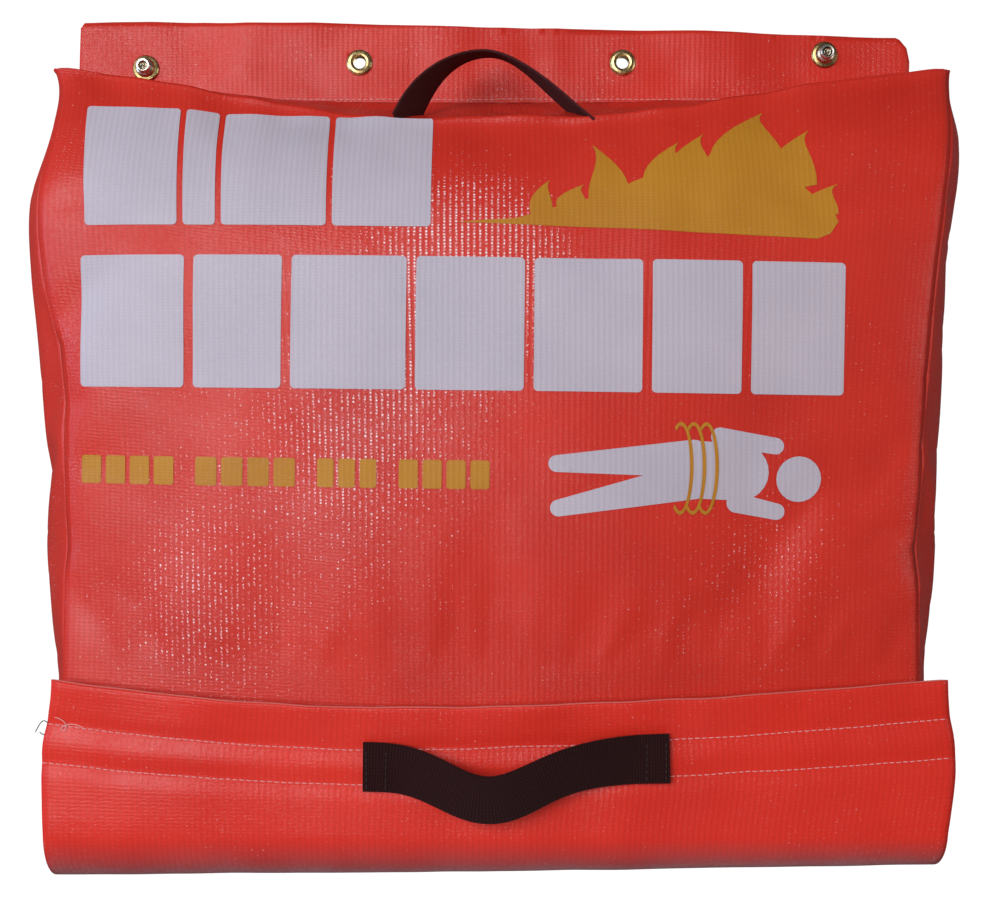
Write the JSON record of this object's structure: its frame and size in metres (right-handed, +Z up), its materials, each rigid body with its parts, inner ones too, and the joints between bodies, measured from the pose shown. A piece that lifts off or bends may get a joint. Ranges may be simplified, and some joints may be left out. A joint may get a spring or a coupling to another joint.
{
  "type": "wall-hung fire blanket",
  "caption": "Soft coated-cloth pouch hung by a flange with eyelets and press studs, with a release flap and pull strap below, holding a folded wool blanket.",
  "frame": {"origin": "on the wall, midway between the centres of the two hanging eyelets", "axes": "+X to the right seen from the front, -Y out of the wall, +Z up"},
  "size_m": [0.448, 0.1057, 0.418],
  "materials": {
    "coated_cloth_red": "vinyl-coated woven cloth, satin",
    "hook_and_loop_red": "matt tape",
    "webbing_black": "flat woven webbing",
    "brass": "polished",
    "nickel_plate": "polished, slightly yellowed",
    "wool_grey": "felted wool"
  },
  "bodies": {
    "bag": {"hanging_flange": "coated_cloth_red", "back_panel": "coated_cloth_red", "top_panel": "coated_cloth_red", "front_panel": "coated_cloth_red", "left_gusset": "coated_cloth_red", "right_gusset": "coated_cloth_red", "loop_tape": "hook_and_loop_red", "eyelet_left": "brass", "eyelet_right": "brass", "eyelet_washer_left": "brass", "eyelet_washer_right": "brass", "press_stud_left": "nickel_plate", "press_stud_right": "nickel_plate", "stud_post_left": "nickel_plate", "stud_post_right": "nickel_plate"},
    "blanket": {"blanket": "wool_grey"},
    "flap_bottom": {"flap_bottom_panel": "coated_cloth_red"},
    "flap_front": {"flap_front_panel": "coated_cloth_red", "hook_tape": "hook_and_loop_red"},
    "pull_strap": {"pull_strap": "webbing_black"},
    "top_handle": {"top_handle": "webbing_black"}
  },
  "joints": [
    {"name": "blanket_drop", "type": "slide", "parent": "bag", "child": "blanket", "axis": [0, 0, -1], "range_m": [0, 0.03]},
    {"name": "flap_drop", "type": "hinge", "parent": "bag", "child": "flap_bottom", "pos_m": [0, -0.00172, -0.39528], "axis": [1, 0, 0], "range_deg": [0, 90]},
    {"name": "flap_peel", "type": "hinge", "parent": "flap_bottom", "child": "flap_front", "pos_m": [0, -0.08743, -0.39164], "axis": [1, 0, 0], "range_deg": [0, 90]},
    {"name": "pull_strap_swing", "type": "hinge", "parent": "flap_front", "child": "pull_strap", "pos_m": [0, -0.0947, -0.326], "axis": [-1, 0, 0], "range_deg": [0, 90]},
    {"name": "top_handle_swing", "type": "hinge", "parent": "bag", "child": "top_handle", "pos_m": [0, -0.05, -0.039], "axis": [1, 0, 0], "range_deg": [0, 100]}
  ],
  "couplings": [
    {"joint": "flap_drop", "follows": "blanket_drop", "rad_per_m": 52.3}
  ]
}
